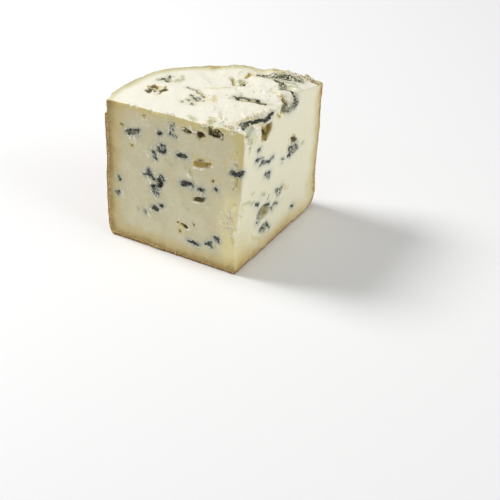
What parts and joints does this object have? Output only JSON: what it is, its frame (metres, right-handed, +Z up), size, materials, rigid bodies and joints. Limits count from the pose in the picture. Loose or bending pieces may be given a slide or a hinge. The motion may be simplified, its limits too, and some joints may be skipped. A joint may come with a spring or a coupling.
{
  "type": "blue cheese",
  "caption": "Quarter wheel of crumbly blue cheese standing on its rind, with two smooth cut faces, a torn top and open gaps along its blue veins.",
  "frame": {"origin": "centre of the bounding box, at the flat base", "axes": "+Z up; +X along the longest extent, from the left rind corner to the right one; the thin edge where the cuts meet points to -Y and the curved rind faces +Y"},
  "size_m": [0.1528, 0.1054, 0.1084],
  "materials": {
    "cheese": "soft matt cream paste, yellower towards a thin tan rind, with dark blue-green mould in its gaps"
  },
  "bodies": {
    "root": {"blue_cheese": "cheese"}
  },
  "joints": []
}
